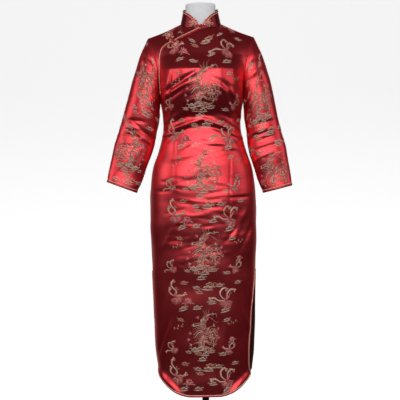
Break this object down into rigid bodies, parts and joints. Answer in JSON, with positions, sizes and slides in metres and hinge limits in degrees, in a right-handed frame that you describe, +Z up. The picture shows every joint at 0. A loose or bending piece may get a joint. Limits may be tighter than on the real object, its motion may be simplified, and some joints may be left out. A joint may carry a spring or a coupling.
{
  "type": "cheongsam dress on dress form",
  "caption": "Ankle-length long-sleeved red satin brocade cheongsam with stand collar, slanting opening, flower frogs and side slits, on a limbless dress form and round base.",
  "frame": {"origin": "centre of the stand base's underside, on the pole's axis", "axes": "+Z up; the dress faces -Y; +X is the wearer's left"},
  "size_m": [0.6666, 0.33, 1.521],
  "materials": {
    "brocade_satin": "glossy red satin with woven gold, grey and pink motifs",
    "piping_satin": "dark red satin bias binding with a fine gold cord",
    "frog_cord": "pale gold-pink cord with red satin petals",
    "form_shell": "smooth matt pale grey moulding",
    "stand_paint": "satin black powder coat"
  },
  "bodies": {
    "root": {"front_panel": "brocade_satin", "front_underlap": "brocade_satin", "back_panel": "brocade_satin", "sleeve_right_arm": "brocade_satin", "sleeve_left_arm": "brocade_satin", "collar": "brocade_satin", "piping_collar": "piping_satin", "piping_opening": "piping_satin", "piping_cuff_right_arm": "piping_satin", "piping_cuff_left_arm": "piping_satin", "piping_front_hem": "piping_satin", "piping_back_hem": "piping_satin", "frog_collar_loop": "frog_cord", "frog_collar_button": "frog_cord", "frog_collar_knot": "frog_cord", "frog_opening_loop": "frog_cord", "frog_opening_button": "frog_cord", "frog_opening_knot": "frog_cord", "dress_form": "form_shell", "stand_pole": "stand_paint", "stand_base": "stand_paint"}
  },
  "joints": []
}
